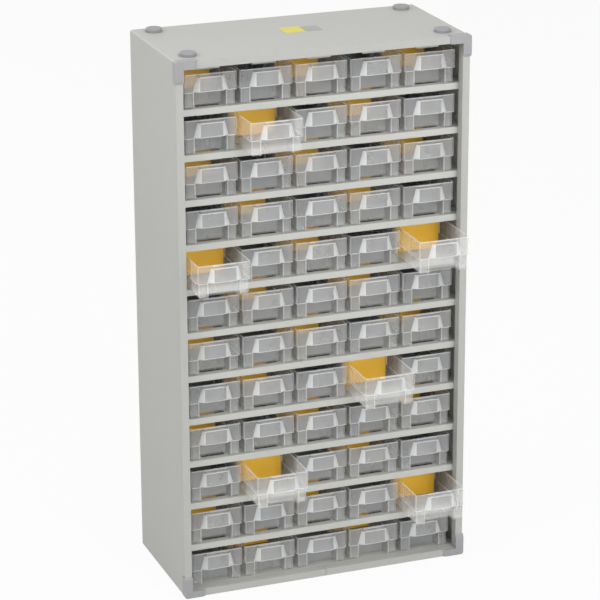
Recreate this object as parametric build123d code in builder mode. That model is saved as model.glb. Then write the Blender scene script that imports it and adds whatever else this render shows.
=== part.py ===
"""Parts bin cabinet: a sheet-steel casing with twelve shelves and sixty small clear drawers.

The frame's origin is the centre of the casing's footprint, on the surface it stands on.
+Z is up, the drawers face -Y, and +X is to the right of someone who stands before them.
All sizes are in millimetres.
"""
import os

from build123d import *

os.makedirs("parts", exist_ok=True)

# ---------------------------------------------------------------- driving dimensions
# casing
casing_width = 304.0
casing_height = 555.0
casing_depth = 143.0
sheet = 1.0  # thickness of the casing's sheet
bend_radius = 2.2  # outside radius of the four long bends
rail_width = 7.4  # face of the fold round the open front
rail_return = 10.0  # how far that fold runs back into the cabinet
seam_gap = 0.4  # butt joint at the middle of the bottom rail
back_flange = 12.0  # fold at the rear that carries the back panel
back_sheet = 0.8
back_inset = 1.5  # margin of the back panel inside the casing's outline
hanger_spacing = 200.0
hanger_drop = 30.0  # from the top of the casing down to the two hanging holes
hanger_radius = 3.0

# rivets of the back panel
rivet_radius = 1.6
rivet_head_radius = 2.6
rivet_head = 1.0
rivet_crown = 0.6  # rounding of the heads' rims
rivet_edge = 7.0  # from the casing's outline to the rivets' centres
rivet_rows = 5

# shelves
row_count = 12
column_count = 5
row_pitch = 45.25
shelf_sheet = 0.8
shelf_lip = 6.5
shelf_side_flange = 10.0
shelf_bend_radius = 0.6
tab_width = 24.0
tab_setback = 8.0  # from the shelf's front edge to the stop tabs
tab_bite = 2.4  # overlap of a stop tab and a drawer's rear tongue
slot_margin = 0.3
stop_rail_depth = 20.0

# corner caps, stacking studs and their sockets
cap_leg = 22.5
cap_front = 2.0  # how far a cap stands ahead of the rails
cap_side = 1.0  # how far it stands outside the casing
cap_skirt = 6.0
cap_lap = 0.4  # how far it reaches over the rails' inner edges
cap_ramp = 3.5  # length of the ramp at the end of each leg
cap_ramp_fall = 1.6
cap_radius = 3.0
stud_radius = 8.5
stud_height = 3.8
stud_chamfer = 0.9
stud_side = 20.0  # from the casing's sides to the studs' centres
stud_front = 22.5
stud_back = 15.3
spigot_radius = 3.0
clip_radius = 5.5
clip_sheet = 0.6
clip_clearance = 0.3
spigot_tip = 1.0
socket_clearance = 0.5
socket_wall = 1.2
socket_flange = 1.0
socket_flange_sheet = 0.9
socket_extra_depth = 0.5

# label on the top panel
label_sheet = 0.2
label_left = -13.5
label_front = 72.0
label_width = 21.0
label_depth = 23.0
patch_width = 17.5
patch_depth = 20.0
label_gap = 0.3

# drawers
column_pitch = 57.0
tray_width = 54.3
tray_length = 128.0
tray_lower = 15.4
tray_upper = 18.2
tray_step = 1.5  # the lower band is this much smaller all round
tray_wall = 1.3
tray_radius = 2.6
tray_foot_radius = 2.0
run_gap = 0.3  # clearance under each drawer
recess_mouth = 33.0
recess_narrowing = 3.0
recess_depth = 10.0
recess_top_depth = 2.5
grip_proud = 3.3  # how far the label plate stands ahead of the drawer's front
grip_plate = 23.0
grip_bevel = 2.6
grip_top_mouth = 28.0
grip_top_proud = 0.4  # what is left of the label plate's overhang at the rim
grip_lift = 1.0  # from the step up to the label plate's lower edge
tongue_width = 20.0
tongue_height = 3.5
tongue_radius = 1.5
rib_depth = 1.2
rib_thickness = 1.0
divider_place = 72.0  # from the drawer's front to the divider
divider_sheet = 1.5
divider_gap = 0.2
divider_drop = 1.0  # from the rim down to the divider's top edge

# how far each drawer that stands open is pulled out, by (row from the top, column from the left)
open_drawers = {(2, 2): 29.5, (5, 1): 34.0, (5, 5): 42.0, (8, 4): 42.0, (10, 2): 39.5, (11, 5): 39.0}

# ---------------------------------------------------------------- derived places
front_y = -casing_depth / 2
back_y = casing_depth / 2
shelf_front_y = front_y + rail_return
flange_y = back_y - back_sheet  # rear face of the rear flange
flange_front_y = flange_y - sheet
shelf_back_y = flange_front_y - rivet_head - run_gap
floor_top = rail_width
tray_height = tray_lower + tray_upper
tray_front_y = shelf_front_y
tab_y = shelf_front_y + tab_setback
tongue_top = run_gap + tray_height + tongue_height
tab_bottom = tongue_top - tab_bite  # above the shelf that the drawer stands on
tab_reach = row_pitch - tab_bottom
inner_half = casing_width / 2 - sheet
stud_xs = (-casing_width / 2 + stud_side, casing_width / 2 - stud_side)
stud_ys = (front_y + stud_front, back_y - stud_back)
stud_places = [(x, y) for x in stud_xs for y in stud_ys]
socket_radius = stud_radius + socket_clearance
socket_depth = stud_height + socket_extra_depth
column_xs = [(column - (column_count - 1) / 2) * column_pitch for column in range(column_count)]
rivet_x = casing_width / 2 - rivet_edge
rivet_step = (casing_height - 2 * rivet_edge) / (rivet_rows - 1)
rivet_places = [(side * rivet_x, rivet_edge + row * rivet_step) for side in (-1, 1) for row in range(rivet_rows)]
rivet_places += [(0, rivet_edge), (0, casing_height - rivet_edge)]
hanger_places = [(side * hanger_spacing / 2, casing_height - hanger_drop) for side in (-1, 1)]


def shelf_top(row):
    """Height of the surface that the drawers of a row stand on; row 1 is the top one."""
    return floor_top + (row_count - row) * row_pitch


def upright(y):
    """Plane parallel to the front at depth y, with X and Z as its axes, facing the viewer."""
    return Plane.XZ.offset(-y)


def ring(outer_width, outer_height, inner_width, inner_height, radius=0.0):
    """A rectangular ring about the middle of the casing's height, in the current sketch."""
    with Locations((0, casing_height / 2)):
        if radius:
            RectangleRounded(outer_width, outer_height, radius)
        else:
            Rectangle(outer_width, outer_height)
        Rectangle(inner_width, inner_height, mode=Mode.SUBTRACT)


def write(part, name):
    """Label a finished piece and write its file."""
    part.label = name
    export_step(part, f"parts/{name}.step")


# ---------------------------------------------------------------- casing
opening_width = casing_width - 2 * rail_width
opening_height = casing_height - 2 * rail_width

with BuildPart() as casing_shell:
    with BuildSketch(upright(front_y)):
        with Locations((0, casing_height / 2)):
            RectangleRounded(casing_width, casing_height, bend_radius)
            RectangleRounded(
                casing_width - 2 * sheet, casing_height - 2 * sheet, bend_radius - sheet, mode=Mode.SUBTRACT
            )
    extrude(amount=-(casing_depth - back_sheet))
    with BuildSketch(upright(front_y)):
        ring(casing_width, casing_height, opening_width, opening_height, bend_radius)
    extrude(amount=-sheet)
    with BuildSketch(upright(front_y)):
        ring(opening_width + 2 * sheet, opening_height + 2 * sheet, opening_width, opening_height)
    extrude(amount=-rail_return)
    with BuildSketch(upright(flange_y)):
        ring(
            casing_width - 2 * sheet,
            casing_height - 2 * sheet,
            casing_width - 2 * back_flange,
            casing_height - 2 * back_flange,
        )
    extrude(amount=sheet)
    # butt joint where the two ends of the bent sheet meet in the bottom rail
    with BuildSketch(Plane.XY):
        with Locations((0, front_y + rail_return / 2)):
            Rectangle(seam_gap, rail_return)
    extrude(amount=rail_width, mode=Mode.SUBTRACT)
    # holes for the studs' spigots in the top and for the sockets in the bottom
    with BuildSketch(Plane.XY.offset(casing_height)):
        with Locations(*stud_places):
            Circle(spigot_radius)
    extrude(amount=-sheet, mode=Mode.SUBTRACT)
    with BuildSketch(Plane.XY):
        with Locations(*stud_places):
            Circle(socket_radius + socket_wall)
    extrude(amount=sheet, mode=Mode.SUBTRACT)
    with BuildSketch(upright(flange_y)):
        with Locations(*rivet_places):
            Circle(rivet_radius)
    extrude(amount=sheet, mode=Mode.SUBTRACT)

with BuildPart() as back_panel:
    with BuildSketch(upright(back_y)):
        with Locations((0, casing_height / 2)):
            Rectangle(casing_width - 2 * back_inset, casing_height - 2 * back_inset)
        with Locations(*hanger_places):
            Circle(hanger_radius, mode=Mode.SUBTRACT)
        with Locations(*rivet_places):
            Circle(rivet_radius, mode=Mode.SUBTRACT)
    extrude(amount=back_sheet)

with BuildPart() as back_rivets:
    with BuildSketch(upright(back_y + rivet_head)):
        with Locations(*rivet_places):
            Circle(rivet_head_radius)
    extrude(amount=rivet_head)
    fillet(back_rivets.faces().group_by(Axis.Y)[-1].edges(), radius=rivet_crown)
    with BuildSketch(upright(back_y)):
        with Locations(*rivet_places):
            Circle(rivet_radius)
    extrude(amount=back_sheet + sheet)
    with BuildSketch(upright(flange_front_y)):
        with Locations(*rivet_places):
            Circle(rivet_head_radius)
    extrude(amount=rivet_head)


# ---------------------------------------------------------------- shelves
def folded_shelf(z, lip, half_width):
    """A shelf with its top at z: plate, front lip with a rounded bend, and rear flange."""
    middle_y = (shelf_back_y + shelf_front_y) / 2
    with BuildPart() as folded:
        with BuildSketch(Plane.XY.offset(z)):
            with Locations((0, middle_y)):
                Rectangle(2 * half_width, shelf_back_y - shelf_front_y)
        extrude(amount=-shelf_sheet)
        with BuildSketch(Plane.XY.offset(z)):
            for y in (shelf_front_y + shelf_sheet / 2, shelf_back_y - shelf_sheet / 2):
                with Locations((0, y)):
                    Rectangle(2 * half_width, shelf_sheet)
        extrude(amount=-lip)
        top_edges = folded.edges().filter_by(Axis.X).group_by(Axis.Z)[-1]
        fillet(top_edges.sort_by(Axis.Y)[0], radius=shelf_bend_radius)
    return folded.part


with BuildPart() as shelf_form:
    add(folded_shelf(0, shelf_lip, inner_half))
    with BuildSketch(Plane.XY.offset(-shelf_sheet)):
        for side in (-1, 1):
            with Locations((side * (inner_half - shelf_sheet / 2), (shelf_back_y + shelf_front_y) / 2)):
                Rectangle(shelf_sheet, shelf_back_y - shelf_front_y)
    extrude(amount=shelf_sheet - shelf_side_flange)
    # stop tabs, cut on three sides and bent down, and the slots that they leave
    with BuildSketch(Plane.XY):
        with Locations(*[(x, tab_y + tab_reach / 2) for x in column_xs]):
            Rectangle(tab_width + 2 * slot_margin, tab_reach)
    extrude(amount=-shelf_sheet, mode=Mode.SUBTRACT)
    with BuildSketch(upright(tab_y)):
        with Locations(*[(x, -tab_reach / 2) for x in column_xs]):
            Rectangle(tab_width, tab_reach)
    extrude(amount=shelf_sheet)

with BuildPart() as shelves:
    with Locations(*[(0, 0, shelf_top(row)) for row in range(1, row_count)]):
        add(shelf_form.part)

with BuildPart() as floor_shelf:
    # it stands on the bottom sheet, clear of the bends at its ends
    add(folded_shelf(floor_top, floor_top - sheet, inner_half - bend_radius))

stop_rail_top = casing_height - sheet
with BuildPart() as top_stop_rail:
    with BuildSketch(Plane.XY.offset(stop_rail_top)):
        with Locations((0, tab_y - shelf_sheet + stop_rail_depth / 2)):
            Rectangle(column_xs[-1] - column_xs[0] + tab_width, stop_rail_depth)
    extrude(amount=-shelf_sheet)
    with BuildSketch(upright(tab_y)):
        for x in column_xs:
            with Locations((x, (stop_rail_top + shelf_top(1) + tab_bottom) / 2)):
                Rectangle(tab_width, stop_rail_top - shelf_top(1) - tab_bottom)
    extrude(amount=shelf_sheet)
    # room for the clips under the studs
    with BuildSketch(Plane.XY.offset(stop_rail_top)):
        with Locations(*stud_places):
            Circle(clip_radius + clip_clearance)
    extrude(amount=-(clip_sheet + spigot_tip + clip_clearance), mode=Mode.SUBTRACT)


# ---------------------------------------------------------------- corner caps
def cap(side, top):
    """One corner cap as an L over the corner of the rails; side is -1 left or 1 right."""
    outer_x = casing_width / 2 + cap_side
    inner_x = casing_width / 2 - rail_width - cap_lap
    rise = cap_side if top else 0.0  # a lower cap ends level with the underside
    lap = cap_lap if top else 0.0  # and stays below the drawers that slide out over it
    corner_z = casing_height + rise if top else 0.0
    inward = -1 if top else 1
    leg = cap_leg
    width = outer_x - inner_x
    band = rail_width + lap + rise
    with BuildPart() as piece:
        with BuildSketch(upright(front_y - cap_front)):
            with BuildLine():
                Polyline(
                    (side * outer_x, corner_z),
                    (side * (outer_x - leg), corner_z),
                    (side * (outer_x - leg), corner_z + inward * band),
                    (side * (outer_x - width), corner_z + inward * band),
                    (side * (outer_x - width), corner_z + inward * leg),
                    (side * outer_x, corner_z + inward * leg),
                    close=True,
                )
            make_face()
        extrude(amount=-(cap_front + cap_skirt))
        # the casing's corner that the cap fits over
        with BuildSketch(upright(front_y)):
            with Locations((0, casing_height / 2)):
                RectangleRounded(casing_width, casing_height, bend_radius)
        extrude(amount=-(cap_skirt + sheet), mode=Mode.SUBTRACT)
        corner = piece.edges().filter_by(Axis.Y)
        corner = corner.sort_by_distance((side * outer_x, front_y, corner_z))[0]
        fillet(corner, radius=cap_radius)
        # the ends of both legs run out in a ramp
        front = piece.faces().filter_by(Plane.XZ).sort_by(Axis.Y)[0]
        across = front.edges().filter_by(Axis.Z).sort_by_distance((side * (outer_x - leg), front_y, corner_z))[0]
        down = front.edges().filter_by(Axis.X)
        down = down.sort_by_distance((side * outer_x, front_y, corner_z + inward * leg))[0]
        chamfer([across, down], length=cap_ramp, length2=cap_ramp_fall, reference=front)
    return piece.part


with BuildPart() as upper_corner_caps:
    add(cap(-1, True))
    add(cap(1, True))

with BuildPart() as lower_corner_caps:
    add(cap(-1, False))
    add(cap(1, False))

# ---------------------------------------------------------------- studs, clips and sockets
with BuildPart() as stacking_studs:
    with BuildSketch(Plane.XY.offset(casing_height)):
        with Locations(*stud_places):
            Circle(stud_radius)
    extrude(amount=stud_height)
    chamfer(stacking_studs.faces().group_by(Axis.Z)[-1].edges(), length=stud_chamfer)
    with BuildSketch(Plane.XY.offset(casing_height)):
        with Locations(*stud_places):
            Circle(spigot_radius)
    extrude(amount=-(sheet + clip_sheet + spigot_tip))

with BuildPart() as stud_clips:
    with BuildSketch(Plane.XY.offset(casing_height - sheet)):
        with Locations(*stud_places):
            Circle(clip_radius)
            Circle(spigot_radius, mode=Mode.SUBTRACT)
    extrude(amount=-clip_sheet)

with BuildPart() as base_cups:
    with BuildSketch(Plane.XY):
        with Locations(*stud_places):
            Circle(socket_radius + socket_wall)
    extrude(amount=socket_depth + socket_wall)
    with BuildSketch(Plane.XY.offset(sheet)):
        with Locations(*stud_places):
            Circle(socket_radius + socket_wall + socket_flange)
    extrude(amount=socket_flange_sheet)
    with BuildSketch(Plane.XY):
        with Locations(*stud_places):
            Circle(socket_radius)
    extrude(amount=socket_depth, mode=Mode.SUBTRACT)

with BuildPart() as top_label:
    with BuildSketch(Plane.XY.offset(casing_height)):
        with Locations((label_left + label_width / 2, front_y + label_front + label_depth / 2)):
            Rectangle(label_width, label_depth)
        with Locations(
            (label_left + label_width + label_gap + patch_width / 2, front_y + label_front + patch_depth / 2)
        ):
            Rectangle(patch_width, patch_depth)
    extrude(amount=label_sheet)


# ---------------------------------------------------------------- drawer
# The drawer's own frame: its front at y = 0, its rear at y = tray_length, its underside at z = 0.
def band(z, inset, radius):
    """Rounded rectangle of the drawer's plan at height z, inset all round from the upper band."""
    with BuildSketch(Plane.XY.offset(z)) as plan:
        with Locations((0, tray_length / 2)):
            RectangleRounded(tray_width - 2 * inset, tray_length - 2 * inset, radius)
    return plan.sketch


def section(z, *points):
    """Mirrored polygon at height z, from points (half width, y) that run from front to rear."""
    left = [(-x, y) for x, y in reversed(points)]
    with BuildSketch(Plane.XY.offset(z)) as plan:
        with BuildLine():
            Polyline(*points, *left, close=True)
        make_face()
    return plan.sketch


recess_half = recess_mouth / 2
recess_rear_half = recess_half - recess_narrowing
grip_half = grip_plate / 2
grip_top_half = grip_top_mouth / 2
grip_bottom = tray_lower + grip_lift
bevel_z = tray_height - grip_bevel
pocket_top = bevel_z - tray_wall
step_floor = tray_lower + tray_wall
wall_rear = (recess_rear_half + tray_wall, recess_depth + tray_wall)
plate_edge = (grip_half, -grip_proud)
pocket_front = (grip_half - tray_wall / 2, tray_wall - grip_proud)

with BuildPart() as tray:
    extrude(band(0, tray_step, tray_radius), amount=tray_lower)
    fillet(tray.faces().sort_by(Axis.Z)[0].edges(), radius=tray_foot_radius)
    extrude(band(tray_lower, 0, tray_radius), amount=tray_upper)
    inner_radius = tray_radius - tray_wall
    extrude(
        band(tray_wall, tray_step + tray_wall, inner_radius), amount=step_floor - tray_wall, mode=Mode.SUBTRACT
    )
    extrude(band(step_floor, tray_wall, inner_radius), amount=tray_height - step_floor, mode=Mode.SUBTRACT)
    # walls round the finger recess: upright below the step, leaning forward above it
    extrude(section(0, (recess_half + tray_wall, tray_step + tray_wall / 2), wall_rear), amount=step_floor)
    loft(
        [
            section(step_floor, (recess_half + tray_wall, tray_wall / 2), wall_rear),
            section(
                tray_height - tray_wall,
                (grip_top_half, tray_wall / 2),
                (grip_top_half - recess_narrowing, recess_top_depth + tray_wall),
            ),
        ],
        ruled=True,
    )
    # the label plate with its slanted sides and bevelled top
    grip_middle = section(bevel_z, plate_edge, (grip_top_half, 0), (grip_top_half, tray_wall))
    loft(
        [section(grip_bottom, plate_edge, (recess_half + tray_wall, 0), (recess_half, tray_wall)), grip_middle],
        ruled=True,
    )
    loft(
        [
            grip_middle,
            section(
                tray_height,
                (grip_half, -grip_top_proud),
                (grip_top_half - tray_wall, 0),
                (grip_top_half - tray_wall, tray_wall),
            ),
        ],
        ruled=True,
    )
    # the recess itself, open to the front and below, and its pocket behind the label plate
    recess_rear = (recess_rear_half, recess_depth)
    mouth = section(-tray_wall, (recess_half, -grip_proud - tray_wall), (recess_half, 0), recess_rear)
    extrude(mouth, amount=grip_bottom + tray_wall, mode=Mode.SUBTRACT)
    loft(
        [
            section(grip_bottom, pocket_front, (recess_half, 0), recess_rear),
            section(
                pocket_top,
                pocket_front,
                (grip_top_half - tray_wall, 0),
                (grip_top_half - recess_narrowing - tray_wall, recess_top_depth),
            ),
        ],
        ruled=True,
        mode=Mode.SUBTRACT,
    )
    # ribs that hold a divider
    rib_offset = (divider_sheet + rib_thickness) / 2 + divider_gap
    rib_ys = (divider_place - rib_offset, divider_place + rib_offset)
    lower_rib_x = tray_width / 2 - tray_step - tray_wall - rib_depth / 2
    upper_rib_x = tray_width / 2 - tray_wall - (tray_step + rib_depth) / 2
    with BuildSketch(Plane.XY.offset(tray_wall)):
        with Locations(*[(side * lower_rib_x, y) for side in (-1, 1) for y in rib_ys]):
            Rectangle(rib_depth, rib_thickness)
    extrude(amount=tray_lower)
    with BuildSketch(Plane.XY.offset(step_floor)):
        with Locations(*[(side * upper_rib_x, y) for side in (-1, 1) for y in rib_ys]):
            Rectangle(tray_step + rib_depth, rib_thickness)
    extrude(amount=tray_height - step_floor - divider_drop)
    # tongue on the rear wall that meets the stop tab
    with BuildSketch(upright(tray_length)):
        with Locations((0, tray_height + (tongue_height - tongue_radius) / 2)):
            RectangleRounded(tongue_width, tongue_height + tongue_radius, tongue_radius)
    extrude(amount=tray_wall)

lower_half = tray_width / 2 - tray_step - tray_wall - divider_gap
upper_half = tray_width / 2 - tray_wall - divider_gap
with BuildPart() as divider:
    with BuildSketch(upright(divider_place + divider_sheet / 2)):
        with BuildLine():
            Polyline(
                (-lower_half, tray_wall + divider_gap),
                (lower_half, tray_wall + divider_gap),
                (lower_half, step_floor + divider_gap),
                (upper_half, step_floor + divider_gap),
                (upper_half, tray_height - divider_drop),
                (-upper_half, tray_height - divider_drop),
                (-upper_half, step_floor + divider_gap),
                (-lower_half, step_floor + divider_gap),
                close=True,
            )
        make_face()
    extrude(amount=divider_sheet)

# ---------------------------------------------------------------- files
named_parts = {
    "casing_shell": casing_shell,
    "back_panel": back_panel,
    "back_rivets": back_rivets,
    "shelves": shelves,
    "floor_shelf": floor_shelf,
    "top_stop_rail": top_stop_rail,
    "upper_corner_caps": upper_corner_caps,
    "lower_corner_caps": lower_corner_caps,
    "stacking_studs": stacking_studs,
    "stud_clips": stud_clips,
    "base_cups": base_cups,
    "top_label": top_label,
}
for name, piece in named_parts.items():
    write(piece.part, name)


def drawer_groups(row):
    """Columns of a row in groups that share a node: one pair of closed neighbours, the rest single."""
    columns = range(1, column_count + 1)
    closed = [(row, column) not in open_drawers for column in columns]
    first = next(c for c in (3, 2) if closed[c - 1] and closed[c])
    groups = [[column] for column in columns if column not in (first, first + 1)]
    return sorted(groups + [[first, first + 1]])


for row in range(1, row_count + 1):
    for group in drawer_groups(row):
        with BuildPart() as drawer:
            for column in group:
                pulled = open_drawers.get((row, column), 0.0)
                place = (column_xs[column - 1], tray_front_y - pulled, shelf_top(row) + run_gap)
                with Locations(place):
                    add(tray.part)
                    if (row + column) % 2 == 0:
                        add(divider.part)
        columns_text = "_".join(str(column) for column in group)
        write(drawer.part, f"drawer_r{row:02d}_c{columns_text}")
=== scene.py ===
"""Looks of the parts bin cabinet: coated casing, frosted drawers, yellow dividers and a stage.

Every length is in metres, in the cabinet's own frame: +Z up, the drawers face -Y, and the
origin is the middle of the casing's footprint, on the surface it stands on.
"""
from math import pi, radians

import bmesh
import bpy
from bpy.props import FloatProperty, FloatVectorProperty, PointerProperty
from mathutils import Color, Matrix, Vector


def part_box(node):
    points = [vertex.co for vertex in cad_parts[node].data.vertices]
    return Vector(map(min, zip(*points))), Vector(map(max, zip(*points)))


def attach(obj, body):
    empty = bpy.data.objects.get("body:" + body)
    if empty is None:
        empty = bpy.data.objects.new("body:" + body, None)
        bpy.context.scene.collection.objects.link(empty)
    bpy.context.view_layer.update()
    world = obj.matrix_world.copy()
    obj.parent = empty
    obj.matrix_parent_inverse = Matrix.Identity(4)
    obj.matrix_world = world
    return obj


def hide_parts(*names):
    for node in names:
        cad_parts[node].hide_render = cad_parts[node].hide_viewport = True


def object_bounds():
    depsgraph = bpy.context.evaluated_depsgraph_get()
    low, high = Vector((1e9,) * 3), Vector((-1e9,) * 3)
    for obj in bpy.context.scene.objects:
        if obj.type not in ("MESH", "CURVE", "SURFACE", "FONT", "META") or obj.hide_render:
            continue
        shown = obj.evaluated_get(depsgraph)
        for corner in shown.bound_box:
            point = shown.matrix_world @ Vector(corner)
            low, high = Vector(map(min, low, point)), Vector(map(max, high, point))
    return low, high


bl_info = {
    "name": "Parts bin cabinet",
    "version": (1, 0, 0),
    "blender": (4, 5, 0),
    "location": "View3D > Sidebar > Cabinet",
    "description": "Finishes, drawers and stage of a sheet-steel parts bin cabinet",
    "category": "Object",
}

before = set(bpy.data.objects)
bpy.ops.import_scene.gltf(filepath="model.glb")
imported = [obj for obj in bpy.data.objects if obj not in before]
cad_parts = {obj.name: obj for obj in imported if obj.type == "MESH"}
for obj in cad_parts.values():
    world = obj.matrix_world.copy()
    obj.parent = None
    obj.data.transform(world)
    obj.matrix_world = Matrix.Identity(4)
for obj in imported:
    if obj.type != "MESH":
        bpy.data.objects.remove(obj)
cad_low, cad_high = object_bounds()

MERGE_DISTANCE = 1e-6
FLOOR_DROP = 1e-4  # how far below the cabinet's underside the floor lies
TAB_BAND = 5e-5  # how near to the tabs' feet a point has to be
FLAT_ANGLE = radians(0.5)
SHARP_ANGLE = radians(32)
SMOOTH_ANGLE = radians(40)
WEB_SLANT = 0.2  # the least sideways slope of a web's face
CORNER_SLANT = 0.5  # the same for the part of a drawer's rounded corner that gets the painted highlight
FACING = -0.9  # a face whose normal's y is below this looks straight ahead
RIM_HIGHLIGHT_SLOT = 1  # places in a drawer's list of materials: more opaque copies of its plastic, painted highlights on rims and lines
LINE_HIGHLIGHT_SLOT = 2
PATTERN_DRAWER = "drawer_r01_c1"  # it holds a divider, and all others are copied from it
CABINET_BODY = "cabinet"
WHITE = (1.0, 1.0, 1.0, 1.0)
SENSOR_WIDTH = 36.0  # millimetres
LAMPS = (  # name, place, width, and the setting that holds the power
    ("key_lamp", (0.6, -2.5, 0.55), 1.0, "key_power"),
    ("edge_lamp", (0.35, -0.95, 1.15), 0.6, "edge_power"),
    ("top_lamp", (0.3, -0.3, 2.2), 1.4, "top_power"),
    ("side_lamp", (-1.3, -0.3, 1.35), 0.9, "side_power"),
    ("rear_lamp", (-0.6, 2.3, 1.4), 1.2, "rear_power"),
)


# ---------------------------------------------------------------- settings
class CasingSettings(bpy.types.PropertyGroup):
    """Sizes and colours of the steel casing, its shelves and its plastic fittings."""

    coat_colour: FloatVectorProperty(
        name="Powder coat", description="Colour of the casing's coat", subtype="COLOR_GAMMA",
        size=3, min=0, max=1, default=(0.683, 0.685, 0.668),
    )
    # Painted light: the shelves' coat is set lighter than the casing's coat, so that the lips and
    # the shaded shelves inside render brighter.
    shelf_colour_with_painted_light: FloatVectorProperty(
        name="Shelf coat", description="Colour of the shelves' coat", subtype="COLOR_GAMMA",
        size=3, min=0, max=1, default=(0.728, 0.731, 0.711),
    )
    cap_colour: FloatVectorProperty(
        name="Fittings", description="Colour of the corner caps", subtype="COLOR_GAMMA",
        size=3, min=0, max=1, default=(0.60, 0.60, 0.607),
    )
    stud_colour: FloatVectorProperty(
        name="Studs", description="Colour of the stacking studs and sockets", subtype="COLOR_GAMMA",
        size=3, min=0, max=1, default=(0.55, 0.55, 0.56),
    )
    zinc_colour: FloatVectorProperty(
        name="Zinc", description="Colour of rivets and clips", subtype="COLOR_GAMMA",
        size=3, min=0, max=1, default=(0.78, 0.79, 0.80),
    )
    sheet_edge: FloatProperty(
        name="Sheet edge", description="Rounding of the cut edges of the sheet steel",
        unit="LENGTH", min=0, default=0.00018,
    )
    shelf_base: FloatProperty(
        name="Lowest shelf", description="Height of the lowest shelf's surface",
        unit="LENGTH", min=0, default=0.0074,
    )
    shelf_pitch: FloatProperty(
        name="Shelf pitch", description="Height from one shelf to the next",
        unit="LENGTH", min=0.001, default=0.04525,
    )
    tab_foot: FloatProperty(
        name="Tab foot", description="Height of the stop tabs' lower edge above the shelf below",
        unit="LENGTH", min=0, default=0.0350,
    )
    tab_trim: FloatProperty(
        name="Tab trim", description="How much shorter the stop tabs are shown",
        unit="LENGTH", min=0, default=0.0013,
    )
    moulded_edge: FloatProperty(
        name="Moulded edge", description="Rounding of the edges of caps and studs",
        unit="LENGTH", min=0, default=0.0004,
    )


class DrawerSettings(bpy.types.PropertyGroup):
    """Sizes and colours of the clear drawers and their dividers."""

    clear_colour: FloatVectorProperty(
        name="Frosted plastic", description="Colour that the drawers scatter",
        subtype="COLOR_GAMMA", size=3, min=0, max=1, default=(0.96, 0.965, 0.96),
    )
    divider_colour: FloatVectorProperty(
        name="Divider", description="Colour of the dividers", subtype="COLOR_GAMMA",
        size=3, min=0, max=1, default=(1.0, 0.765, 0.19),
    )
    wall_cover: FloatProperty(
        name="Wall cover", description="How much one face of a drawer's wall hides",
        subtype="FACTOR", min=0, max=1, default=0.15,
    )
    # Painted highlight: the rims, corners, recess sides and rounded edges are shown more opaque
    # than the walls, partly for the thicker plastic and partly for light scattering out of it.
    rim_highlight_cover: FloatProperty(
        name="Rim cover", description="How much the rims and the rounded corners hide",
        subtype="FACTOR", min=0, max=1, default=0.36,
    )
    # Painted highlight: the step, the plate's border and the slanted webs are shown more opaque
    # still, for the light that catches on them and scatters out of the thick plastic.
    line_highlight_cover: FloatProperty(
        name="Line cover", description="How much the bright lines and the slanted webs hide",
        subtype="FACTOR", min=0, max=1, default=0.5,
    )
    glow: FloatProperty(
        name="Glow", description="How much light soaks through the frosted walls",
        subtype="FACTOR", min=0, max=1, default=0.6,
    )
    glow_depth: FloatProperty(
        name="Glow depth", description="How far light soaks into the plastic",
        unit="LENGTH", min=0, default=0.003,
    )
    wall: FloatProperty(
        name="Wall", description="Thickness of the drawer's walls",
        unit="LENGTH", min=0, default=0.0013,
    )
    step_height: FloatProperty(
        name="Step", description="Height of the step between the two bands",
        unit="LENGTH", min=0, default=0.0154,
    )
    rim_height: FloatProperty(
        name="Rim", description="Height of the rim above the underside",
        unit="LENGTH", min=0, default=0.0336,
    )
    mouth_half: FloatProperty(
        name="Recess half width", description="Half the width of the finger recess at the front",
        unit="LENGTH", min=0, default=0.0165,
    )
    plate_low: FloatProperty(
        name="Plate foot", description="Height of the label plate's lower edge",
        unit="LENGTH", min=0, default=0.0164,
    )
    plate_top: FloatProperty(
        name="Plate top", description="Height of the label plate's upper edge",
        unit="LENGTH", min=0, default=0.0310,
    )
    plate_proud: FloatProperty(
        name="Plate overhang",
        description="How far the label plate stands ahead of the front wall",
        unit="LENGTH", min=0, default=0.0033,
    )
    # Width of the painted highlight lines.
    line_width: FloatProperty(
        name="Bright line",
        description="Width of the bright lines along rim, step, recess and plate",
        unit="LENGTH", min=0, default=0.0008,
    )
    edge_round: FloatProperty(
        name="Edge rounding", description="Rounding of the drawer's moulded edges",
        unit="LENGTH", min=0, default=0.00028,
    )


class LabelSettings(bpy.types.PropertyGroup):
    """Sizes and colours of the plain label on the top panel."""

    film_colour: FloatVectorProperty(
        name="Film", description="Colour of the label's field", subtype="COLOR_GAMMA",
        size=3, min=0, max=1, default=(0.80, 0.75, 0.14),
    )
    patch_colour: FloatVectorProperty(
        name="Patch", description="Colour of the patch beside it", subtype="COLOR_GAMMA",
        size=3, min=0, max=1, default=(0.57, 0.57, 0.56),
    )
    corner: FloatProperty(
        name="Corner", description="Radius of the label's corners",
        unit="LENGTH", min=0, default=0.0012,
    )


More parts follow.
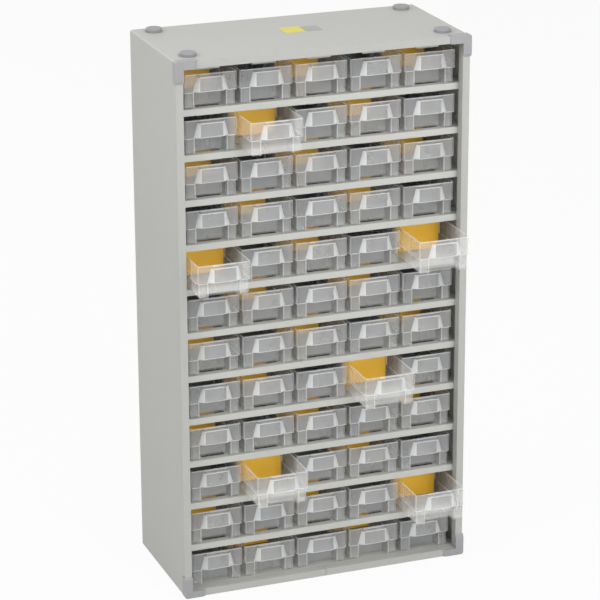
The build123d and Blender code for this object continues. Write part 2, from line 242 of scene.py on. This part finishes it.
class StageSettings(bpy.types.PropertyGroup):
    """Camera, lamps and floor."""

    camera_place: FloatVectorProperty(
        name="Camera", description="Place of the camera", subtype="TRANSLATION",
        unit="LENGTH", size=3, default=(-0.9311, -2.4648, 1.1918),
    )
    camera_yaw: FloatProperty(
        name="Yaw", description="Turn of the camera to the right",
        unit="ROTATION", default=radians(20.687),
    )
    camera_pitch: FloatProperty(
        name="Pitch", description="Tilt of the camera downwards",
        unit="ROTATION", default=radians(19.162),
    )
    camera_roll: FloatProperty(
        name="Roll", description="Roll of the camera", unit="ROTATION", default=radians(-0.2255),
    )
    camera_lens: FloatProperty(
        name="Lens", description="Focal length on a sensor 36 mm wide",
        unit="CAMERA", min=1, default=164.65,
    )
    world_level: FloatProperty(
        name="Room light", description="Strength of the even light of the room",
        subtype="FACTOR", min=0, max=1, default=0.48,
    )
    key_power: FloatProperty(
        name="Key lamp", description="Power of the large lamp in front",
        unit="POWER", min=0, default=18.5,
    )
    edge_power: FloatProperty(
        name="Edge lamp", description="Power of the small lamp at the upper right",
        unit="POWER", min=0, default=5.0,
    )
    top_power: FloatProperty(
        name="Top lamp", description="Power of the lamp overhead",
        unit="POWER", min=0, default=6.2,
    )
    side_power: FloatProperty(
        name="Side lamp", description="Power of the lamp on the left",
        unit="POWER", min=0, default=13.2,
    )
    rear_power: FloatProperty(
        name="Rear lamp", description="Power of the lamp behind",
        unit="POWER", min=0, default=9.0,
    )
    floor_size: FloatProperty(
        name="Floor", description="Width of the floor", unit="LENGTH", min=1, default=14.0,
    )
    floor_white: FloatProperty(
        name="Floor white", description="How much of the floor's shadows is lost in white",
        subtype="FACTOR", min=0, max=1, default=0.93,
    )
    floor_colour: FloatVectorProperty(
        name="Floor colour", description="Colour of the floor", subtype="COLOR_GAMMA",
        size=3, min=0, max=1, default=(0.86, 0.86, 0.86),
    )


# ---------------------------------------------------------------- shader building
def linear(colour):
    """A colour as it is seen on screen, turned into the linear values that shaders use."""
    return (*Color(colour).from_srgb_to_scene_linear(), 1.0)


def scaled(colour, factor):
    """A linear colour made lighter or darker by a factor."""
    return (*[min(1.0, channel * factor) for channel in colour[:3]], 1.0)


class Wire:
    """A socket in a shader sum: its operators add Math nodes to the material."""

    def __init__(self, paint, socket):
        self.paint = paint
        self.socket = socket

    def _sum(self, operation, first, second):
        return self.paint.node("Math", {"operation": operation}, {0: first, 1: second})

    def __add__(self, other):
        return self._sum("ADD", self, other)

    def __radd__(self, other):
        return self._sum("ADD", other, self)

    def __sub__(self, other):
        return self._sum("SUBTRACT", self, other)

    def __rsub__(self, other):
        return self._sum("SUBTRACT", other, self)

    def __mul__(self, other):
        return self._sum("MULTIPLY", self, other)

    def __rmul__(self, other):
        return self._sum("MULTIPLY", other, self)

    def above(self, other):
        """1 where the value is greater than the other, and 0 elsewhere."""
        return self._sum("GREATER_THAN", self, other)

    def spread(self, low, high):
        """A value from 0 to 1, stretched to run from low to high."""
        return low + self * (high - low)


class Paint:
    """A new material or world and the nodes that are added to it."""

    def __init__(self, owner):
        owner.use_nodes = True
        self.owner = owner
        self.tree = owner.node_tree
        self.tree.nodes.clear()

    def node(self, kind, settings=None, inputs=None, output=0):
        """Add a node: its type, its settings, and the values or wires of its sockets."""
        node = self.tree.nodes.new("ShaderNode" + kind)
        for name, value in (settings or {}).items():
            setattr(node, name, value)
        for name, value in (inputs or {}).items():
            socket = node.inputs[name]
            if isinstance(value, Wire):
                self.tree.links.new(value.socket, socket)
            else:
                socket.default_value = value
        return Wire(self, node.outputs[output]) if node.outputs else node

    def place(self):
        """The surface point on the object."""
        return self.node("TexCoord", output="Object")

    def noise(self, per_metre, detail=2.0, stretch=(1, 1, 1)):
        """Noise from 0 to 1 with that many features to a metre."""
        place = self.node("Mapping", {}, {"Vector": self.place(), "Scale": stretch})
        return self.node("TexNoise", {}, {"Vector": place, "Scale": per_metre, "Detail": detail})

    def tones(self, colour, dark, light, mask):
        """A colour that drifts between a darker and a lighter tone of itself."""
        base = linear(colour)
        ends = {0: mask, 6: scaled(base, dark), 7: scaled(base, light)}
        return self.node("Mix", {"data_type": "RGBA"}, ends, output=2)

    def bump(self, height, distance, strength):
        """The surface's normal, roughened by a height; the distance is the relief's depth."""
        return self.node("Bump", {}, {"Height": height, "Distance": distance, "Strength": strength})

    def surface(self, **sockets):
        """End a material in one Principled shader; sockets' names have _ for their spaces."""
        named = {name.replace("_", " "): value for name, value in sockets.items()}
        shader = self.node("BsdfPrincipled", {}, named)
        self.node("OutputMaterial", {}, {"Surface": shader})
        return self.owner


def powder_coat(name, colour):
    """Baked powder coat: fine orange peel over a tone that drifts a little."""
    paint = Paint(bpy.data.materials.new(name))
    peel = paint.noise(per_metre=1300, detail=3.0)
    specks = paint.noise(per_metre=5200, detail=1.0)
    drift = paint.noise(per_metre=7)
    return paint.surface(
        Base_Color=paint.tones(colour, 0.955, 1.045, mask=0.7 * drift + 0.3 * specks),
        Roughness=peel.spread(0.48, 0.62),
        Normal=paint.bump(peel + 0.25 * specks, distance=0.0001, strength=0.35),
        Specular_IOR_Level=0.4,
    )


def moulded_plastic(name, colour):
    """Matt moulded plastic with a fine eroded texture."""
    paint = Paint(bpy.data.materials.new(name))
    grain = paint.noise(per_metre=2600)
    cloud = paint.noise(per_metre=60)
    return paint.surface(
        Base_Color=paint.tones(colour, 0.94, 1.05, mask=cloud),
        Roughness=grain.spread(0.42, 0.57),
        Normal=paint.bump(grain, distance=0.00008, strength=0.5),
        Specular_IOR_Level=0.4,
    )


def zinc_plate(name, colour):
    """Zinc plating: a soft metal with a crystalline drift."""
    paint = Paint(bpy.data.materials.new(name))
    crystals = paint.node("TexVoronoi", {}, {"Vector": paint.place(), "Scale": 1800.0})
    return paint.surface(
        Base_Color=paint.tones(colour, 0.85, 1.05, mask=crystals),
        Roughness=crystals.spread(0.28, 0.48),
        Metallic=1.0,
        Normal=paint.bump(crystals, distance=0.00005, strength=0.3),
    )


def frosted_plastic(name, settings, cover, roughness):
    """Milky see-through polypropylene with faint flow marks; cover is how much it hides."""
    paint = Paint(bpy.data.materials.new(name))
    frost = paint.noise(per_metre=900)
    flow = paint.noise(per_metre=70, detail=1.0, stretch=(1.0, 1.0, 0.4))
    return paint.surface(
        Base_Color=paint.tones(settings.clear_colour, 0.97, 1.03, mask=flow),
        Roughness=frost.spread(roughness, roughness + 0.1),
        Alpha=cover + 0.04 * (flow - 0.5),
        Normal=paint.bump(frost, distance=0.00002, strength=0.1),
        Specular_IOR_Level=0.5,
        Subsurface_Weight=settings.glow,
        Subsurface_Scale=settings.glow_depth,
        Subsurface_Radius=(1.0, 0.9, 0.8),
    )


def divider_plastic(name, colour):
    """Opaque coloured plastic with a light satin sheen."""
    paint = Paint(bpy.data.materials.new(name))
    cloud = paint.noise(per_metre=45, detail=3.0)
    grain = paint.noise(per_metre=1800)
    return paint.surface(
        Base_Color=paint.tones(colour, 0.9, 1.05, mask=cloud),
        Roughness=grain.spread(0.36, 0.5),
        Normal=paint.bump(grain, distance=0.0001, strength=0.3),
        Specular_IOR_Level=0.45,
    )


def label_film(name, colour):
    """Printed film with a slight gloss and a paper tooth."""
    paint = Paint(bpy.data.materials.new(name))
    tooth = paint.noise(per_metre=3000)
    cloud = paint.noise(per_metre=150)
    return paint.surface(
        Base_Color=paint.tones(colour, 0.93, 1.04, mask=cloud),
        Roughness=tooth.spread(0.3, 0.45),
        Normal=paint.bump(tooth, distance=0.00003, strength=0.3),
    )


# ---------------------------------------------------------------- modelling helpers
def only(piece):
    """Select one object alone and make it the active one."""
    bpy.ops.object.select_all(action="DESELECT")
    piece.select_set(True)
    bpy.context.view_layer.objects.active = piece


def edit(piece, mode="EDGE"):
    """Open one object in edit mode with nothing selected."""
    only(piece)
    bpy.ops.object.mode_set(mode="EDIT")
    bpy.ops.mesh.select_mode(type=mode)
    bpy.ops.mesh.select_all(action="DESELECT")


def leave_edit():
    """Back to object mode."""
    bpy.ops.object.mode_set(mode="OBJECT")


def link_copy(source, name):
    """A copy of an object with a mesh of its own."""
    piece = bpy.data.objects.new(name, source.data.copy())
    piece.data.name = name
    bpy.context.scene.collection.objects.link(piece)
    return piece


def merged_copy(node, name):
    """A copy of a construction node with its triangles merged into clean faces."""
    piece = link_copy(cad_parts[node], name)
    piece.data.materials.clear()
    edit(piece, "VERT")
    bpy.ops.mesh.select_all(action="SELECT")
    bpy.ops.mesh.remove_doubles(threshold=MERGE_DISTANCE)
    bpy.ops.mesh.customdata_custom_splitnormals_clear()
    bpy.ops.mesh.select_mode(type="FACE")
    bpy.ops.mesh.select_all(action="SELECT")
    bpy.ops.mesh.dissolve_limited(angle_limit=FLAT_ANGLE)
    leave_edit()
    return piece


def round_edges(piece, width, segments=2):
    """Bevel every sharp edge of a piece; the new faces are left selected in edit mode."""
    edit(piece, "EDGE")
    bpy.ops.mesh.edges_select_sharp(sharpness=SHARP_ANGLE)
    bpy.ops.mesh.bevel(offset=width, segments=segments, affect="EDGES", clamp_overlap=True)


def select_faces(piece, wanted):
    """In edit mode, select the faces for which wanted(middle, normal) is true."""
    bpy.ops.mesh.select_mode(type="FACE")
    bpy.ops.mesh.select_all(action="DESELECT")
    mesh = bmesh.from_edit_mesh(piece.data)
    for face in mesh.faces:
        face.select_set(wanted(face.calc_center_median(), face.normal))
    bmesh.update_edit_mesh(piece.data)


def select_upright_edges(piece):
    """In edit mode, select the edges that run up and down."""
    mesh = bmesh.from_edit_mesh(piece.data)
    for edge in mesh.edges:
        start, end = (vertex.co for vertex in edge.verts)
        edge.select_set(abs(start.z - end.z) > abs(start.x - end.x) + abs(start.y - end.y))
    bmesh.update_edit_mesh(piece.data)


def cut_level(height):
    """Score the selected faces along a level plane."""
    bpy.ops.mesh.bisect(plane_co=(0, 0, height), plane_no=(0, 0, 1), use_fill=False)


def cut_upright(across):
    """Score the selected faces along an upright plane that runs from front to back."""
    bpy.ops.mesh.bisect(plane_co=(across, 0, 0), plane_no=(1, 0, 0), use_fill=False)


def assign(piece, slot):
    """Give the selected faces one of the piece's materials."""
    piece.active_material_index = slot
    bpy.ops.object.material_slot_assign()


def trim_tabs(piece, settings):
    """Shorten the stop tabs a little, so that they stay behind the lips in the photo's view."""
    edit(piece, "VERT")
    mesh = bmesh.from_edit_mesh(piece.data)
    for vertex in mesh.verts:
        above_shelf = (vertex.co.z - settings.shelf_base) % settings.shelf_pitch
        vertex.select = abs(above_shelf - settings.tab_foot) < TAB_BAND
    mesh.select_flush_mode()
    bmesh.update_edit_mesh(piece.data)
    bpy.ops.transform.translate(value=(0, 0, settings.tab_trim))
    leave_edit()


def smooth(piece):
    """Smooth the rounded edges and keep the large faces flat."""
    only(piece)
    bpy.ops.object.shade_smooth_by_angle(angle=SMOOTH_ANGLE)
    weighted = piece.modifiers.new("weighted", "WEIGHTED_NORMAL")
    weighted.keep_sharp = True
    bpy.ops.object.modifier_apply(modifier=weighted.name)


def settle(piece, body, slot, *nodes):
    """Put a finished piece in place of its construction nodes."""
    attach(piece, body)
    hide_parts(*nodes)


def dress(node, name, slot, material, edge, segments=2, shape=None):
    """Finish one of the casing's nodes: merged, shaped if asked, its edges rounded, and coated."""
    piece = merged_copy(node, name)
    if shape:
        shape(piece)
    piece.data.materials.append(material)
    round_edges(piece, edge, segments)
    leave_edit()
    smooth(piece)
    settle(piece, CABINET_BODY, slot, node)
    return piece


def shift(piece, offset):
    """Move a piece through its mesh, so that its object stays at the origin."""
    piece.data.transform(Matrix.Translation(offset))


def split_parts(piece):
    """Separate a piece into its unconnected parts, largest first."""
    edit(piece, "VERT")
    bpy.ops.mesh.select_all(action="SELECT")
    bpy.ops.mesh.separate(type="LOOSE")
    leave_edit()
    parts = list(bpy.context.selected_objects)
    return sorted(parts, key=lambda part: -max(part.dimensions))


# ---------------------------------------------------------------- drawers
def holds_divider(row, column):
    """Every second drawer holds one, as on a chessboard."""
    return (row + column) % 2 == 0


def drawer_places():
    """Every drawer as (row, column, node, offset from the pattern drawer)."""
    pattern_low, pattern_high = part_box(PATTERN_DRAWER)
    width = pattern_high.x - pattern_low.x
    for node in sorted(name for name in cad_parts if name.startswith("drawer_")):
        row_text, columns_text = node.removeprefix("drawer_r").split("_c")
        low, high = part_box(node)
        for order, column in enumerate(columns_text.split("_")):
            along = Vector(((high.x - low.x - width) * order, 0.0, 0.0))
            yield int(row_text), int(column), node, low - pattern_low + along


def score_highlight_lines(tray, settings):
    """Cut the narrow bands where the thick plastic shows bright, and give them more opaque
    finishes: painted highlights, partly for the thicker plastic and partly for the light that
    scatters out of it and catches on the webs.
    """
    low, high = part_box(PATTERN_DRAWER)
    base = low.z
    middle_x = (low.x + high.x) / 2
    line = settings.line_width
    rim = base + settings.rim_height
    step = base + settings.step_height
    plate_low = base + settings.plate_low
    plate_top = base + settings.plate_top
    plate_face = low.y + settings.wall / 4  # just behind the label plate's face
    wall_face = low.y + settings.plate_proud
    wall_back = wall_face + settings.wall * 1.5  # just behind the front wall

    def on_plate(middle, normal):
        return middle.y < plate_face and normal.y < FACING

    def on_lower_front(middle, normal):
        return middle.z < step and middle.y < wall_back and normal.y < FACING

    def on_rim_or_corner(middle, normal):
        aside = abs(middle.x - middle_x)
        on_corner = (
            aside > settings.mouth_half and normal.y < -WEB_SLANT and abs(normal.x) > CORNER_SLANT
        )
        beside_recess = (
            on_lower_front(middle, normal)
            and settings.mouth_half < aside < settings.mouth_half + line
        )
        return on_corner or beside_recess or rim - line < middle.z

    def on_line_or_web(middle, normal):
        on_web = (
            middle.y < wall_face and abs(normal.x) > WEB_SLANT
            and plate_low < middle.z < plate_top
        )
        on_step = step < middle.z < step + line and middle.y > wall_face - settings.wall
        on_border = middle.y < plate_face and not plate_low + line < middle.z < plate_top - line
        return on_web or on_step or on_border

    edit(tray, "FACE")
    for height in (rim - line, step + line):
        bpy.ops.mesh.select_all(action="SELECT")
        cut_level(height)
    for height in (plate_low + line, plate_top - line):
        select_faces(tray, on_plate)
        cut_level(height)
    for side in (-1, 1):
        select_faces(tray, on_lower_front)
        cut_upright(middle_x + side * (settings.mouth_half + line))

    # Painted highlights: the rims, corners and recess sides get the more opaque rim finish, and the
    # step, webs and plate border get the still more opaque line finish.
    select_faces(tray, on_rim_or_corner)
    assign(tray, RIM_HIGHLIGHT_SLOT)
    select_faces(tray, on_line_or_web)
    assign(tray, LINE_HIGHLIGHT_SLOT)
    leave_edit()


class CABINET_OT_casing(bpy.types.Operator):
    """Coat the casing and its back panel, and plate the rivets."""

    bl_idname = "cabinet.casing"
    bl_label = "Casing"

    def execute(self, context):
        settings = context.scene.cabinet_casing
        coat = powder_coat("casing_coat", settings.coat_colour)
        zinc = zinc_plate("zinc_plate", settings.zinc_colour)
        dress("casing_shell", "coated_casing", "casing_paint", coat, settings.sheet_edge)
        dress("back_panel", "coated_back", "casing_paint", coat, settings.sheet_edge)
        dress(
            "back_rivets", "plated_rivets", "rivet_metal", zinc, settings.sheet_edge, segments=1,
        )
        return {"FINISHED"}


class CABINET_OT_shelves(bpy.types.Operator):
    """Coat the folded shelves, the bottom shelf and the stop rail."""

    bl_idname = "cabinet.shelves"
    bl_label = "Shelves"

    def execute(self, context):
        settings = context.scene.cabinet_casing
        # The shelves' coat is lighter than the casing's: painted light on the lips and the shelves
        # inside.
        coat = powder_coat("shelf_coat", settings.shelf_colour_with_painted_light)
        dress("floor_shelf", "coated_floor_shelf", "shelf_paint", coat, settings.sheet_edge)
        for node in ("shelves", "top_stop_rail"):
            dress(
                node, "coated_" + node, "shelf_paint", coat, settings.sheet_edge,
                shape=lambda piece: trim_tabs(piece, settings),
            )
        return {"FINISHED"}


class CABINET_OT_fittings(bpy.types.Operator):
    """Finish the corner caps, the stacking studs with their clips, and the sockets underneath."""

    bl_idname = "cabinet.fittings"
    bl_label = "Caps, studs and sockets"

    def execute(self, context):
        settings = context.scene.cabinet_casing
        caps = moulded_plastic("cap_plastic", settings.cap_colour)
        studs = moulded_plastic("stud_plastic", settings.stud_colour)
        plastics = {
            "upper_corner_caps": caps, "lower_corner_caps": caps,
            "stacking_studs": studs, "base_cups": studs,
        }
        for node, plastic in plastics.items():
            dress(
                node, "moulded_" + node, "cap_plastic", plastic, settings.moulded_edge, segments=3,
            )
        zinc = bpy.data.materials["zinc_plate"]
        dress(
            "stud_clips", "plated_stud_clips", "rivet_metal", zinc, settings.sheet_edge, segments=1,
        )
        return {"FINISHED"}


class CABINET_OT_label(bpy.types.Operator):
    """Make the plain two-part label on the top panel, with rounded corners."""

    bl_idname = "cabinet.label"
    bl_label = "Top label"

    def execute(self, context):
        settings = context.scene.cabinet_label
        parts = split_parts(merged_copy("top_label", "label"))
        names = ("label_field", "label_patch")
        colours = (settings.film_colour, settings.patch_colour)
        for part, name, colour in zip(parts, names, colours, strict=True):
            part.name = name
            part.data.materials.append(label_film(name + "_film", colour))
            edit(part, "EDGE")
            select_upright_edges(part)
            bpy.ops.mesh.bevel(offset=settings.corner, segments=5, affect="EDGES")
            leave_edit()
            smooth(part)
            settle(part, CABINET_BODY, "label_film", "top_label")
        return {"FINISHED"}


class CABINET_OT_drawers(bpy.types.Operator):
    """Model one drawer and its divider, copy the drawer to all sixty places and the divider to
    every second one.
    """

    bl_idname = "cabinet.drawers"
    bl_label = "Drawers and dividers"

    def execute(self, context):
        settings = context.scene.cabinet_drawer
        # The rim and line finishes are the same plastic made more opaque: painted highlights along
        # the drawer's edges and lines.
        finishes = (
            frosted_plastic("drawer_wall", settings, settings.wall_cover, roughness=0.30),
            frosted_plastic("drawer_rim", settings, settings.rim_highlight_cover, roughness=0.27),
            frosted_plastic("drawer_line", settings, settings.line_highlight_cover, roughness=0.24),
        )
        yellow = divider_plastic("divider_plastic", settings.divider_colour)
        tray, divider = split_parts(merged_copy(PATTERN_DRAWER, "drawer"))

        for finish in finishes:
            tray.data.materials.append(finish)
        score_highlight_lines(tray, settings)
        round_edges(tray, settings.edge_round)
        # The rounded edges get the painted highlight of the rims too.
        assign(tray, RIM_HIGHLIGHT_SLOT)
        leave_edit()
        smooth(tray)

        divider.data.materials.append(yellow)
        round_edges(divider, settings.edge_round)
        leave_edit()
        smooth(divider)

        for row, column, node, offset in drawer_places():
            place = f"r{row:02d}_c{column}"
            sources = {"tray_": tray}
            if holds_divider(row, column):
                sources["divider_"] = divider
            for prefix, source in sources.items():
                piece = link_copy(source, prefix + place)
                shift(piece, offset)
                settle(piece, node, "drawer_plastic", node)
        bpy.data.objects.remove(tray)
        bpy.data.objects.remove(divider)
        return {"FINISHED"}


# ---------------------------------------------------------------- stage
def background_rays(paint):
    """1 for rays that look at the background: from the camera, or by way of gloss or glass."""
    path = paint.node("LightPath", output="Is Camera Ray")
    node = path.socket.node
    glossy = Wire(paint, node.outputs["Is Glossy Ray"])
    through = Wire(paint, node.outputs["Is Transmission Ray"])
    return (path + glossy + through).above(0.5)


def white_room(world, level):
    """White where it is looked at, and an even soft light on the object."""
    paint = Paint(world)
    light = paint.node("Background", {}, {"Color": WHITE, "Strength": level})
    white = paint.node("Background", {}, {"Color": WHITE, "Strength": 1.0})
    mixed = paint.node("MixShader", {}, {0: background_rays(paint), 1: light, 2: white})
    paint.node("OutputWorld", {}, {"Surface": mixed})


def pale_floor(colour, whiteness):
    """A matt pale floor that looks white and keeps a faint shadow."""
    paint = Paint(bpy.data.materials.new("pale_floor"))
    matt = paint.node("BsdfDiffuse", {}, {"Color": linear(colour)})
    white = paint.node("Emission", {}, {"Color": WHITE, "Strength": 1.0})
    share = background_rays(paint) * whiteness
    mixed = paint.node("MixShader", {}, {0: share, 1: matt, 2: white})
    paint.node("OutputMaterial", {}, {"Surface": mixed})
    return paint.owner


def lamp(name, place, aim, size, power):
    """A square soft lamp at a place, turned towards a point."""
    bpy.ops.object.light_add(type="AREA", location=place)
    light = bpy.context.object
    light.name = name
    light.rotation_euler = (Vector(aim) - Vector(place)).to_track_quat("-Z", "Y").to_euler()
    light.data.shape = "SQUARE"
    light.data.size = size
    light.data.energy = power


def lay_floor(settings):
    """A wide floor just under the cabinet."""
    bpy.ops.object.select_all(action="DESELECT")
    bpy.ops.mesh.primitive_plane_add(size=settings.floor_size, location=(0, 0, 0))
    floor = bpy.context.object
    floor.name = "floor"
    shift(floor, (0, 0, -FLOOR_DROP))
    floor.data.materials.append(pale_floor(settings.floor_colour, settings.floor_white))


def set_camera(settings):
    """Add the camera, turned by its yaw, pitch and roll from looking along +Y."""
    bpy.ops.object.camera_add()
    camera = bpy.context.object
    camera.name = "camera"
    turn = (
        Matrix.Rotation(-settings.camera_yaw, 4, "Z")
        @ Matrix.Rotation(-settings.camera_pitch, 4, "X")
        @ Matrix.Rotation(-settings.camera_roll, 4, "Y")
        @ Matrix.Rotation(pi / 2, 4, "X")
    )
    camera.matrix_world = Matrix.Translation(settings.camera_place) @ turn
    camera.data.sensor_width = SENSOR_WIDTH
    camera.data.lens = settings.camera_lens
    bpy.context.scene.camera = camera


class CABINET_OT_stage(bpy.types.Operator):
    """Set up the floor, the white room, the soft lamps and the camera."""

    bl_idname = "cabinet.stage"
    bl_label = "Stage"

    def execute(self, context):
        scene = context.scene
        settings = scene.cabinet_stage
        lay_floor(settings)
        scene.world = scene.world or bpy.data.worlds.new("room")
        white_room(scene.world, settings.world_level)
        middle = (cad_low + cad_high) / 2
        for name, place, size, power in LAMPS:
            lamp(name, place, middle, size, getattr(settings, power))
        set_camera(settings)
        scene.view_settings.view_transform = "Standard"
        return {"FINISHED"}


class CABINET_PT_panel(bpy.types.Panel):
    """The cabinet's pieces and their settings, in the 3D view's sidebar."""

    bl_idname = "CABINET_PT_panel"
    bl_label = "Parts bin cabinet"
    bl_space_type = "VIEW_3D"
    bl_region_type = "UI"
    bl_category = "Cabinet"

    def draw(self, context):
        for operator, group in STEPS:
            box = self.layout.box()
            box.operator(operator.bl_idname)
            settings = getattr(context.scene, group)
            for name in settings.bl_rna.properties.keys():
                if name not in ("rna_type", "name"):
                    box.prop(settings, name)


GROUPS = {
    "cabinet_casing": CasingSettings,
    "cabinet_drawer": DrawerSettings,
    "cabinet_label": LabelSettings,
    "cabinet_stage": StageSettings,
}
STEPS = (
    (CABINET_OT_casing, "cabinet_casing"),
    (CABINET_OT_shelves, "cabinet_casing"),
    (CABINET_OT_fittings, "cabinet_casing"),
    (CABINET_OT_label, "cabinet_label"),
    (CABINET_OT_drawers, "cabinet_drawer"),
    (CABINET_OT_stage, "cabinet_stage"),
)


def register():
    """Register the settings, the operators and the panel."""
    for name, group in GROUPS.items():
        bpy.utils.register_class(group)
        setattr(bpy.types.Scene, name, PointerProperty(type=group))
    for operator, _ in STEPS:
        bpy.utils.register_class(operator)
    bpy.utils.register_class(CABINET_PT_panel)


def unregister():
    """Take back all that register did, in the opposite order."""
    bpy.utils.unregister_class(CABINET_PT_panel)
    for operator, _ in reversed(STEPS):
        bpy.utils.unregister_class(operator)
    for name, group in reversed(GROUPS.items()):
        delattr(bpy.types.Scene, name)
        bpy.utils.unregister_class(group)


def main():
    """Make the whole scene."""
    register()
    bpy.ops.cabinet.casing()
    bpy.ops.cabinet.shelves()
    bpy.ops.cabinet.fittings()
    bpy.ops.cabinet.label()
    bpy.ops.cabinet.drawers()
    bpy.ops.cabinet.stage()


if __name__ == "__main__":
    main()
